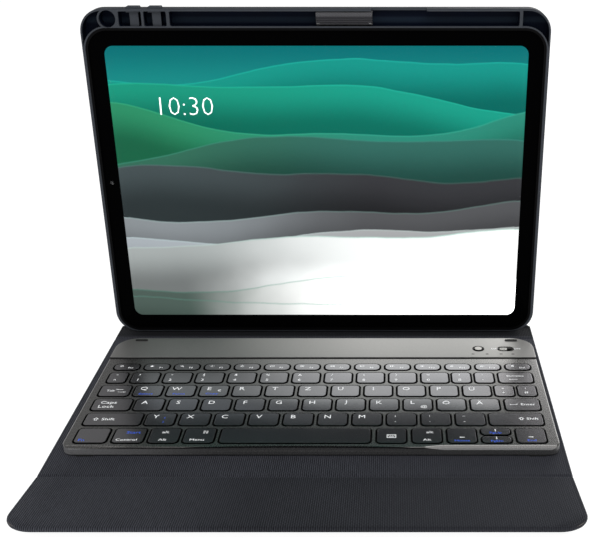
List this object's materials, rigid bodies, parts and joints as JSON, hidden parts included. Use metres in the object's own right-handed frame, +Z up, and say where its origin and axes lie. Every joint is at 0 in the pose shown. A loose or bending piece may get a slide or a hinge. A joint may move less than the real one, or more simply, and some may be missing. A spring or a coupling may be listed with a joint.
{
  "type": "tablet keyboard case",
  "caption": "Folio case for an 11-inch tablet: woven cover that folds, soft tray with stylus groove holding the tablet upright, lift-off keyboard with travelling keys, stand leg and front flap.",
  "frame": {"origin": "bottom centre of the whole case as it stands open on a table", "axes": "+X to the right of the person typing, +Y from the typist towards the upright tablet, +Z up"},
  "size_m": [0.2524, 0.212, 0.1944],
  "materials": {
    "woven_cover": "woven matt",
    "woven_lining": "woven matt",
    "stiffener": "board",
    "steel": "plain",
    "soft_tray": "satin",
    "elastic": "woven elastic",
    "housing": "satin",
    "glass": "gloss",
    "display": "lit",
    "lens": "gloss",
    "keyboard_frame": "satin metallic",
    "keyboard_bottom": "matt",
    "circuit": "plain",
    "silicone": "matt",
    "battery": "foil",
    "indicator": "clear",
    "control": "satin",
    "keycap": "satin"
  },
  "bodies": {
    "base": {"base_outer_skin": "woven_cover", "base_board": "stiffener", "base_inner_skin": "woven_lining", "base_magnets": "steel"},
    "flap": {"flap_outer_skin": "woven_cover", "flap_board": "stiffener", "flap_inner_skin": "woven_lining", "flap_magnets": "steel"},
    "spine": {"spine_outer_skin": "woven_cover", "spine_board": "stiffener", "spine_inner_skin": "woven_lining"},
    "tray": {"tray_shell": "soft_tray", "pencil_loop": "elastic", "back_board": "stiffener", "back_outer_skin": "woven_cover", "tablet_housing": "housing", "front_glass": "glass", "display_panel": "display", "front_camera": "lens", "rear_camera": "lens"},
    "stand_leg": {"leg_outer_skin": "woven_cover", "leg_board": "stiffener", "leg_inner_skin": "woven_lining", "leg_magnets": "steel"},
    "keyboard": {"keyboard_bottom_cover": "keyboard_bottom", "keyboard_top_frame": "keyboard_frame", "keyboard_upper_strip": "keyboard_frame", "bumper_pads": "silicone", "indicator_lights": "indicator", "switch_film": "circuit", "dome_sheet": "silicone", "circuit_board": "circuit", "battery_cell": "battery", "keyboard_magnets": "steel", "charging_port": "steel", "keyboard_screws": "steel"},
    "volume_up_pad": {"volume_up_pad": "soft_tray"},
    "volume_down_pad": {"volume_down_pad": "soft_tray"},
    "power_switch": {"power_switch": "control"},
    "connect_button": {"connect_button": "control"},
    "key_backspace": {"key_backspace": "keycap"},
    "key_tab": {"key_tab": "keycap"},
    "key_caps_lock": {"key_caps_lock": "keycap"},
    "key_enter": {"key_enter": "keycap"},
    "key_shift_left": {"key_shift_left": "keycap"},
    "key_shift_right": {"key_shift_right": "keycap"},
    "key_space": {"key_space": "keycap"},
    "key_arrow_left": {"key_arrow_left": "keycap"},
    "key_arrow_up": {"key_arrow_up": "keycap"},
    "key_arrow_down": {"key_arrow_down": "keycap"},
    "key_arrow_right": {"key_arrow_right": "keycap"},
    "keys_function_row": {"keys_function_row": "keycap"},
    "keys_number_row": {"keys_number_row": "keycap"},
    "keys_upper_row": {"keys_upper_row": "keycap"},
    "keys_home_row": {"keys_home_row": "keycap"},
    "keys_lower_row": {"keys_lower_row": "keycap"},
    "keys_left_modifiers": {"keys_left_modifiers": "keycap"},
    "keys_right_modifiers": {"keys_right_modifiers": "keycap"}
  },
  "joints": [
    {"name": "flap_fold", "type": "hinge", "parent": "base", "child": "flap", "pos_m": [0, -0.0573, 0.00125], "axis": [1, 0, 0], "range_deg": [-82, 8]},
    {"name": "cover_fold", "type": "hinge", "parent": "base", "child": "spine", "pos_m": [0, 0.0873, 0.00125], "axis": [1, 0, 0], "range_deg": [0, 90]},
    {"name": "recline_fold", "type": "hinge", "parent": "spine", "child": "tray", "pos_m": [0, 0.1052, 0.002], "axis": [1, 0, 0], "range_deg": [-90, 0]},
    {"name": "leg_fold", "type": "hinge", "parent": "tray", "child": "stand_leg", "pos_m": [0, 0.1052, 0.118], "axis": [1, 0, 0], "range_deg": [0, 60]},
    {"name": "keyboard_lift", "type": "slide", "parent": "base", "child": "keyboard", "axis": [0, 0, -1], "range_m": [-0.06, 0]},
    {"name": "volume_up_press", "type": "slide", "parent": "tray", "child": "volume_up_pad", "axis": [0, 0, -1], "range_m": [0, 0.0005], "stiffness_N_per_m": 1500},
    {"name": "volume_down_press", "type": "slide", "parent": "tray", "child": "volume_down_pad", "axis": [0, 0, -1], "range_m": [0, 0.0005], "stiffness_N_per_m": 1500},
    {"name": "power_slide", "type": "slide", "parent": "keyboard", "child": "power_switch", "axis": [1, 0, 0], "range_m": [0, 0.003]},
    {"name": "connect_press", "type": "slide", "parent": "keyboard", "child": "connect_button", "axis": [0, 0, -1], "range_m": [0, 0.0005], "stiffness_N_per_m": 800},
    {"name": "key_backspace_press", "type": "slide", "parent": "keyboard", "child": "key_backspace", "axis": [0, 0, -1], "range_m": [0, 0.0012], "stiffness_N_per_m": 450},
    {"name": "key_tab_press", "type": "slide", "parent": "keyboard", "child": "key_tab", "axis": [0, 0, -1], "range_m": [0, 0.0012], "stiffness_N_per_m": 450},
    {"name": "key_caps_lock_press", "type": "slide", "parent": "keyboard", "child": "key_caps_lock", "axis": [0, 0, -1], "range_m": [0, 0.0012], "stiffness_N_per_m": 450},
    {"name": "key_enter_press", "type": "slide", "parent": "keyboard", "child": "key_enter", "axis": [0, 0, -1], "range_m": [0, 0.0012], "stiffness_N_per_m": 450},
    {"name": "key_shift_left_press", "type": "slide", "parent": "keyboard", "child": "key_shift_left", "axis": [0, 0, -1], "range_m": [0, 0.0012], "stiffness_N_per_m": 450},
    {"name": "key_shift_right_press", "type": "slide", "parent": "keyboard", "child": "key_shift_right", "axis": [0, 0, -1], "range_m": [0, 0.0012], "stiffness_N_per_m": 450},
    {"name": "key_space_press", "type": "slide", "parent": "keyboard", "child": "key_space", "axis": [0, 0, -1], "range_m": [0, 0.0012], "stiffness_N_per_m": 700},
    {"name": "key_arrow_left_press", "type": "slide", "parent": "keyboard", "child": "key_arrow_left", "axis": [0, 0, -1], "range_m": [0, 0.0012], "stiffness_N_per_m": 450},
    {"name": "key_arrow_up_press", "type": "slide", "parent": "keyboard", "child": "key_arrow_up", "axis": [0, 0, -1], "range_m": [0, 0.0012], "stiffness_N_per_m": 450},
    {"name": "key_arrow_down_press", "type": "slide", "parent": "keyboard", "child": "key_arrow_down", "axis": [0, 0, -1], "range_m": [0, 0.0012], "stiffness_N_per_m": 450},
    {"name": "key_arrow_right_press", "type": "slide", "parent": "keyboard", "child": "key_arrow_right", "axis": [0, 0, -1], "range_m": [0, 0.0012], "stiffness_N_per_m": 450},
    {"name": "keys_function_row_press", "type": "slide", "parent": "keyboard", "child": "keys_function_row", "axis": [0, 0, -1], "range_m": [0, 0.0012], "stiffness_N_per_m": 6300},
    {"name": "keys_number_row_press", "type": "slide", "parent": "keyboard", "child": "keys_number_row", "axis": [0, 0, -1], "range_m": [0, 0.0012], "stiffness_N_per_m": 5850},
    {"name": "keys_upper_row_press", "type": "slide", "parent": "keyboard", "child": "keys_upper_row", "axis": [0, 0, -1], "range_m": [0, 0.0012], "stiffness_N_per_m": 5850},
    {"name": "keys_home_row_press", "type": "slide", "parent": "keyboard", "child": "keys_home_row", "axis": [0, 0, -1], "range_m": [0, 0.0012], "stiffness_N_per_m": 4950},
    {"name": "keys_lower_row_press", "type": "slide", "parent": "keyboard", "child": "keys_lower_row", "axis": [0, 0, -1], "range_m": [0, 0.0012], "stiffness_N_per_m": 4500},
    {"name": "keys_left_modifiers_press", "type": "slide", "parent": "keyboard", "child": "keys_left_modifiers", "axis": [0, 0, -1], "range_m": [0, 0.0012], "stiffness_N_per_m": 1800},
    {"name": "keys_right_modifiers_press", "type": "slide", "parent": "keyboard", "child": "keys_right_modifiers", "axis": [0, 0, -1], "range_m": [0, 0.0012], "stiffness_N_per_m": 900}
  ]
}
